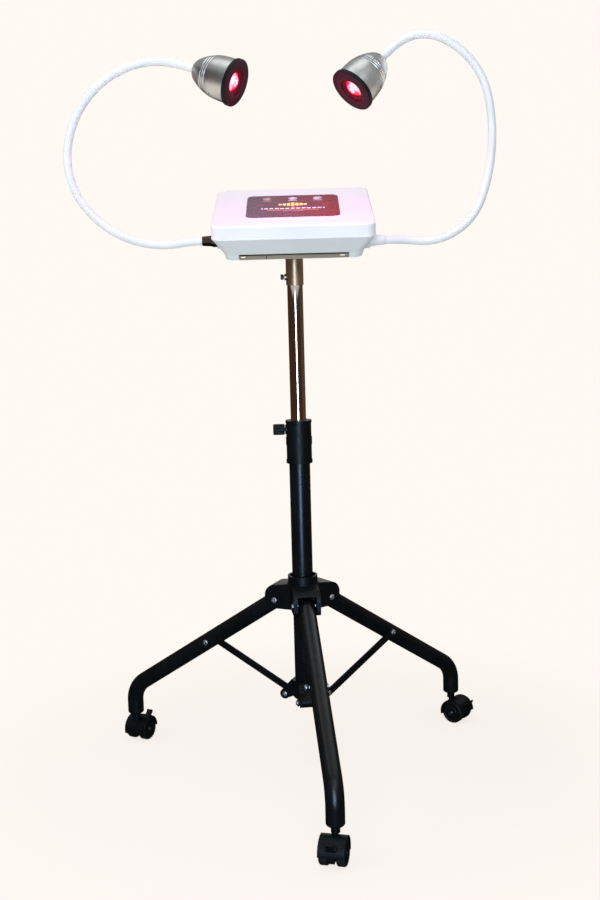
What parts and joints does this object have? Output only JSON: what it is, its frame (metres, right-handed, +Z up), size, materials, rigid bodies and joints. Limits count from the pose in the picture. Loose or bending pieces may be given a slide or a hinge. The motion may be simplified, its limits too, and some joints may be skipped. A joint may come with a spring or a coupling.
{
  "type": "light therapy stand",
  "caption": "Folding tripod stand on casters with a telescoping post, a tilted control box and two gooseneck red-light lamps.",
  "frame": {"origin": "on the floor, on the axis of the post", "axes": "+Z up along the post; -Y towards the user and the low edge of the control box; +X to the right as seen by the user"},
  "size_m": [0.6653, 0.5963, 1.185],
  "materials": {
    "black_steel_tube": "black powder coat, satin",
    "black_nylon": "moulded black nylon",
    "caster_wheel": "black nylon wheels",
    "bush_plastic": "grey acetal",
    "rivet_steel": "bright zinc-plated rivets",
    "chrome": "polished chrome plate",
    "bracket_steel": "warm brushed steel",
    "dark_screw": "blackened steel",
    "screw_steel": "zinc-plated screws",
    "lid_white": "white satin ABS",
    "tray_grey": "light grey ABS",
    "circuit": "green circuit board",
    "supply": "black encapsulated supply",
    "inlet_plastic": "black socket",
    "panel_film": "printed film, dark wine",
    "key_cap": "pale key caps",
    "gland_metal": "nickel-plated brass glands",
    "neck_sleeve": "white satin sleeve over steel gooseneck",
    "lamp_aluminium": "turned and brushed aluminium",
    "lamp_ring": "black glossy front ring",
    "lamp_lens": "clear lens lit red from behind",
    "led_base": "aluminium light source and heat sink"
  },
  "bodies": {
    "mast": {"outer_tube": "black_steel_tube", "clamp_collar": "black_nylon", "tube_bush": "bush_plastic", "lower_collar": "black_nylon", "collar_pins": "rivet_steel"},
    "hub": {"leg_hub": "black_nylon", "hub_pins": "rivet_steel"},
    "leg_front": {"leg_tube_front": "black_steel_tube", "leg_plug_front": "black_nylon", "brace_pin_front": "rivet_steel"},
    "brace_front": {"brace_front": "black_steel_tube"},
    "caster_front": {"caster_hood_front": "black_nylon"},
    "wheels_front": {"caster_wheels_front": "caster_wheel"},
    "brake_front": {"caster_brake_front": "black_nylon"},
    "leg_right": {"leg_tube_right": "black_steel_tube", "leg_plug_right": "black_nylon", "brace_pin_right": "rivet_steel"},
    "brace_right": {"brace_right": "black_steel_tube"},
    "caster_right": {"caster_hood_right": "black_nylon"},
    "wheels_right": {"caster_wheels_right": "caster_wheel"},
    "brake_right": {"caster_brake_right": "black_nylon"},
    "leg_left": {"leg_tube_left": "black_steel_tube", "leg_plug_left": "black_nylon", "brace_pin_left": "rivet_steel"},
    "brace_left": {"brace_left": "black_steel_tube"},
    "caster_left": {"caster_hood_left": "black_nylon"},
    "wheels_left": {"caster_wheels_left": "caster_wheel"},
    "brake_left": {"caster_brake_left": "black_nylon"},
    "clamp_pad": {"pressure_pad": "bush_plastic"},
    "clamp_knob": {"clamp_knob": "black_nylon"},
    "post": {"chrome_post": "chrome", "post_end_bush": "bush_plastic"},
    "control_unit": {"mount_bracket": "bracket_steel", "plate_screws": "screw_steel", "box_lid": "lid_white", "box_tray": "tray_grey", "case_screws": "screw_steel", "circuit_board": "circuit", "power_supply": "supply", "power_inlet": "inlet_plastic", "control_panel": "panel_film", "neck_glands": "gland_metal"},
    "bracket_screw": {"bracket_screw": "dark_screw"},
    "key_left": {"key_left": "key_cap"},
    "key_middle": {"key_middle": "key_cap"},
    "key_right": {"key_right": "key_cap"},
    "neck_left_lower": {"neck_left_lower": "neck_sleeve"},
    "neck_left_middle": {"neck_left_middle": "neck_sleeve"},
    "neck_left_upper": {"neck_left_upper": "neck_sleeve"},
    "lamp_left": {"lamp_shell_left": "lamp_aluminium", "lamp_ring_left": "lamp_ring", "lamp_lens_left": "lamp_lens", "led_board_left": "led_base"},
    "neck_right_lower": {"neck_right_lower": "neck_sleeve"},
    "neck_right_middle": {"neck_right_middle": "neck_sleeve"},
    "neck_right_upper": {"neck_right_upper": "neck_sleeve"},
    "lamp_right": {"lamp_shell_right": "lamp_aluminium", "lamp_ring_right": "lamp_ring", "lamp_lens_right": "lamp_lens", "led_board_right": "led_base"}
  },
  "joints": [
    {"name": "stand_fold", "type": "hinge", "parent": "mast", "child": "brace_left", "pos_m": [-0.03253, 0.01421, 0.12486], "axis": [0.4004, 0.9164, 0], "range_deg": [0, 44.5]},
    {"name": "brace_left_to_leg", "type": "hinge", "parent": "brace_left", "child": "leg_left", "pos_m": [-0.16472, 0.07197, 0.20181], "axis": [-0.4004, -0.9164, 0], "range_deg": [0, 86.54]},
    {"name": "leg_left_to_hub", "type": "hinge", "parent": "leg_left", "child": "hub", "pos_m": [-0.03968, 0.01733, 0.2906], "axis": [0.4004, 0.9164, 0], "range_deg": [0, 42.04]},
    {"name": "leg_front_fold", "type": "hinge", "parent": "hub", "child": "leg_front", "pos_m": [0.00483, -0.04303, 0.2906], "axis": [0.9938, 0.1115, 0], "range_deg": [0, 42.04]},
    {"name": "brace_front_fold", "type": "hinge", "parent": "mast", "child": "brace_front", "pos_m": [0.00396, -0.03528, 0.12486], "axis": [-0.9938, -0.1115, 0], "range_deg": [0, 44.6]},
    {"name": "leg_right_fold", "type": "hinge", "parent": "hub", "child": "leg_right", "pos_m": [0.03485, 0.02569, 0.2906], "axis": [-0.5934, 0.8049, 0], "range_deg": [0, 42.04]},
    {"name": "brace_right_fold", "type": "hinge", "parent": "mast", "child": "brace_right", "pos_m": [0.02857, 0.02107, 0.12486], "axis": [0.5934, -0.8049, 0], "range_deg": [0, 44.6]},
    {"name": "caster_front_swivel", "type": "hinge", "parent": "leg_front", "child": "caster_front", "pos_m": [0.03723, -0.33192, 0.05], "axis": [0, 0, 1], "continuous": true},
    {"name": "wheels_front_roll", "type": "hinge", "parent": "caster_front", "child": "wheels_front", "pos_m": [0.03409, -0.34453, 0.02], "axis": [0.9703, -0.2419, 0], "continuous": true},
    {"name": "brake_front_press", "type": "hinge", "parent": "caster_front", "child": "brake_front", "pos_m": [0.02908, -0.36461, 0.03293], "axis": [0.9703, -0.2419, 0], "range_deg": [0, 22]},
    {"name": "caster_right_swivel", "type": "hinge", "parent": "leg_right", "child": "caster_right", "pos_m": [0.26883, 0.1982, 0.05], "axis": [0, 0, 1], "continuous": true},
    {"name": "wheels_right_roll", "type": "hinge", "parent": "caster_right", "child": "wheels_right", "pos_m": [0.27908, 0.1902, 0.02], "axis": [0.6157, 0.788, 0], "continuous": true},
    {"name": "brake_right_press", "type": "hinge", "parent": "caster_right", "child": "brake_right", "pos_m": [0.29538, 0.17746, 0.03293], "axis": [0.6157, 0.788, 0], "range_deg": [0, 22]},
    {"name": "caster_left_swivel", "type": "hinge", "parent": "leg_left", "child": "caster_left", "pos_m": [-0.30606, 0.13372, 0.05], "axis": [0, 0, 1], "continuous": true},
    {"name": "wheels_left_roll", "type": "hinge", "parent": "caster_left", "child": "wheels_left", "pos_m": [-0.30016, 0.1453, 0.02], "axis": [-0.891, 0.454, 0], "continuous": true},
    {"name": "brake_left_press", "type": "hinge", "parent": "caster_left", "child": "brake_left", "pos_m": [-0.29077, 0.16374, 0.03293], "axis": [-0.891, 0.454, 0], "range_deg": [0, 22]},
    {"name": "clamp_pad_slide", "type": "slide", "parent": "mast", "child": "clamp_pad", "axis": [-1, 0, 0], "range_m": [0, 0.00075]},
    {"name": "clamp_knob_turn", "type": "hinge", "parent": "clamp_pad", "child": "clamp_knob", "pos_m": [-0.03, 0, 0.5752], "axis": [-1, 0, 0], "range_deg": [0, 180]},
    {"name": "post_slide", "type": "slide", "parent": "mast", "child": "post", "axis": [0, 0, 1], "range_m": [-0.199, 0.18]},
    {"name": "bracket_swivel", "type": "hinge", "parent": "post", "child": "control_unit", "pos_m": [0, 0, 0.8072], "axis": [0, 0, 1], "continuous": true},
    {"name": "bracket_screw_turn", "type": "hinge", "parent": "control_unit", "child": "bracket_screw", "pos_m": [-0.02, 0, 0.8202], "axis": [-1, 0, 0], "range_deg": [0, 360]},
    {"name": "key_left_press", "type": "slide", "parent": "control_unit", "child": "key_left", "axis": [0, 0.3057, -0.9521], "range_m": [0, 0.0008], "stiffness_N_per_m": 1500, "springref_m": -0.0004},
    {"name": "key_middle_press", "type": "slide", "parent": "control_unit", "child": "key_middle", "axis": [0, 0.3057, -0.9521], "range_m": [0, 0.0008], "stiffness_N_per_m": 1500, "springref_m": -0.0004},
    {"name": "key_right_press", "type": "slide", "parent": "control_unit", "child": "key_right", "axis": [0, 0.3057, -0.9521], "range_m": [0, 0.0008], "stiffness_N_per_m": 1500, "springref_m": -0.0004},
    {"name": "neck_left_swing", "type": "hinge", "parent": "control_unit", "child": "neck_left_lower", "pos_m": [-0.142, -0.045, 0.8783], "axis": [1, 0, 0], "range_deg": [-35, 35]},
    {"name": "neck_left_lower_bend", "type": "hinge", "parent": "neck_left_lower", "child": "neck_left_middle", "pos_m": [-0.25587, -0.045, 0.88506], "axis": [0, 1, 0], "range_deg": [-30, 20]},
    {"name": "neck_left_upper_bend", "type": "hinge", "parent": "neck_left_middle", "child": "neck_left_upper", "pos_m": [-0.30991, -0.045, 1.09703], "axis": [0, 1, 0], "range_deg": [-30, 20]},
    {"name": "lamp_left_tilt", "type": "hinge", "parent": "neck_left_upper", "child": "lamp_left", "pos_m": [-0.14448, -0.05118, 1.1359], "axis": [-0.1974, 0.4099, -0.8905], "range_deg": [-25, 20]},
    {"name": "neck_right_swing", "type": "hinge", "parent": "control_unit", "child": "neck_right_lower", "pos_m": [0.142, -0.045, 0.8733], "axis": [1, 0, 0], "range_deg": [-35, 35]},
    {"name": "neck_right_lower_bend", "type": "hinge", "parent": "neck_right_lower", "child": "neck_right_middle", "pos_m": [0.25315, -0.045, 0.88433], "axis": [0, -1, 0], "range_deg": [-30, 20]},
    {"name": "neck_right_upper_bend", "type": "hinge", "parent": "neck_right_middle", "child": "neck_right_upper", "pos_m": [0.27675, -0.045, 1.13939], "axis": [0, -1, 0], "range_deg": [-30, 20]},
    {"name": "lamp_right_tilt", "type": "hinge", "parent": "neck_right_upper", "child": "lamp_right", "pos_m": [0.1406, -0.05162, 1.14437], "axis": [-0.5039, -0.4695, 0.725], "range_deg": [-25, 20]}
  ],
  "couplings": [
    {"joint": "brace_left_to_leg", "follows": "stand_fold", "ratio": 1.9425},
    {"joint": "leg_left_to_hub", "follows": "stand_fold", "ratio": 0.94251},
    {"joint": "leg_front_fold", "follows": "stand_fold", "ratio": 0.94251},
    {"joint": "brace_front_fold", "follows": "stand_fold", "ratio": 1},
    {"joint": "leg_right_fold", "follows": "stand_fold", "ratio": 0.94251},
    {"joint": "brace_right_fold", "follows": "stand_fold", "ratio": 1},
    {"joint": "clamp_knob_turn", "follows": "clamp_pad_slide", "rad_per_m": 4188.8}
  ]
}
